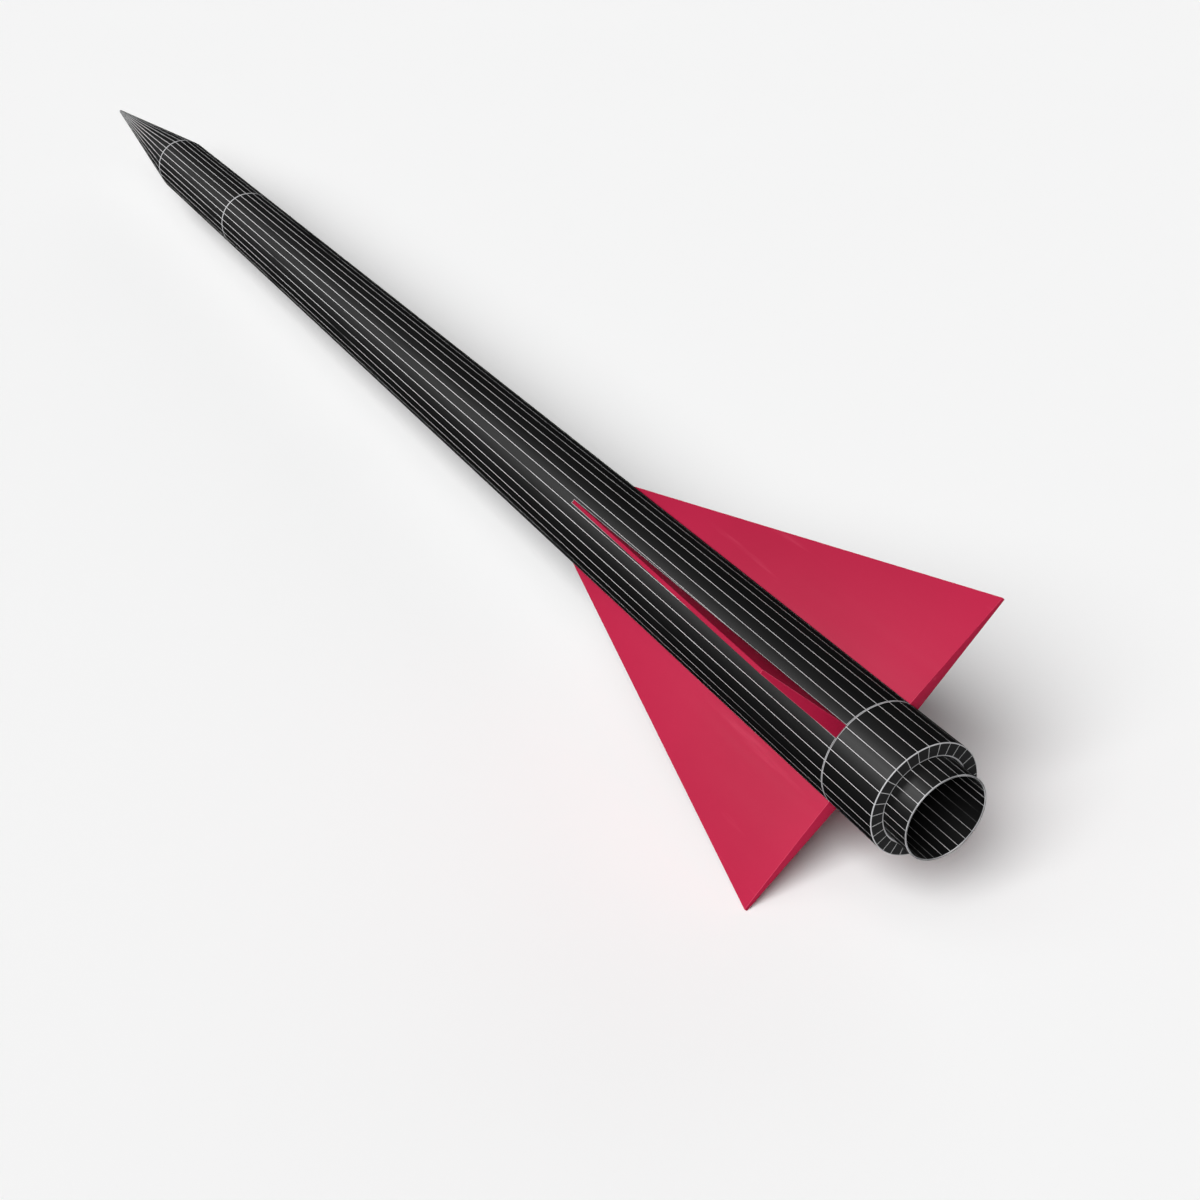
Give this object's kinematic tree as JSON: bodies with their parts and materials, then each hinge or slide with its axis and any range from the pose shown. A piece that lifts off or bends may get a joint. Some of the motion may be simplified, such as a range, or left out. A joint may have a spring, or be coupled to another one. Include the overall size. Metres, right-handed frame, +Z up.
{
  "type": "slim four-fin model rocket",
  "caption": "Slim black model rocket with a long pointed nose, crimson delta fins through wall slots, tail collar, open motor tube and a pull-out payload section.",
  "frame": {"origin": "centre of the bounding box's bottom face, on the surface that the two lower fin tips stand on, half way along the rocket", "axes": "+Y along the rocket towards the nose, +Z up, +X to the right as seen from the tail, with the fins at 45 degrees to X and Z"},
  "size_m": [0.0564, 0.711, 0.0563],
  "materials": {
    "tube_black": "satin black roll-wrapped tube with fine lengthwise lines",
    "nose_black": "satin black moulded plastic",
    "collar_black": "satin black, with a turned rear face",
    "motor_tube_black": "satin black coat, sooty inside",
    "lug_black": "satin black coat",
    "fin_crimson": "satin crimson moulded plastic",
    "kraft_paper": "bare brown kraft paper tube",
    "plywood": "bare birch plywood",
    "zinc_steel": "zinc plated steel",
    "ballast_metal": "dull grey cast metal",
    "chute_nylon": "orange ripstop nylon, rolled",
    "cord_aramid": "yellow braided aramid cord",
    "brass": "plain brass"
  },
  "bodies": {
    "airframe": {"body_tube": "tube_black", "tail_collar": "collar_black", "motor_tube": "motor_tube_black", "launch_lug_fore": "lug_black", "launch_lug_aft": "lug_black", "fin_upper_right": "fin_crimson", "fin_upper_left": "fin_crimson", "fin_lower_left": "fin_crimson", "fin_lower_right": "fin_crimson", "baffle_tube": "kraft_paper", "thrust_ring": "kraft_paper", "centering_ring": "plywood", "baffle_disc_fore": "plywood", "baffle_disc_aft": "plywood", "eye_bolt_aft": "zinc_steel", "eye_washer_aft": "zinc_steel", "eye_nut_aft": "zinc_steel", "parachute": "chute_nylon", "shock_cord": "cord_aramid", "line_swivel": "brass"},
    "nose": {"nose_cone": "nose_black", "nose_ballast": "ballast_metal", "nose_base_plug": "nose_black"},
    "payload_section": {"payload_tube": "tube_black", "payload_coupler": "kraft_paper", "coupler_bulkhead": "plywood", "eye_bolt_fore": "zinc_steel", "eye_washer_fore": "zinc_steel", "eye_nut_fore": "zinc_steel"}
  },
  "joints": [
    {"name": "payload_slide", "type": "slide", "parent": "airframe", "child": "payload_section", "axis": [0, 1, 0], "range_m": [0, 0.06]},
    {"name": "nose_slide", "type": "slide", "parent": "payload_section", "child": "nose", "axis": [0, 1, 0], "range_m": [0, 0.035]}
  ]
}
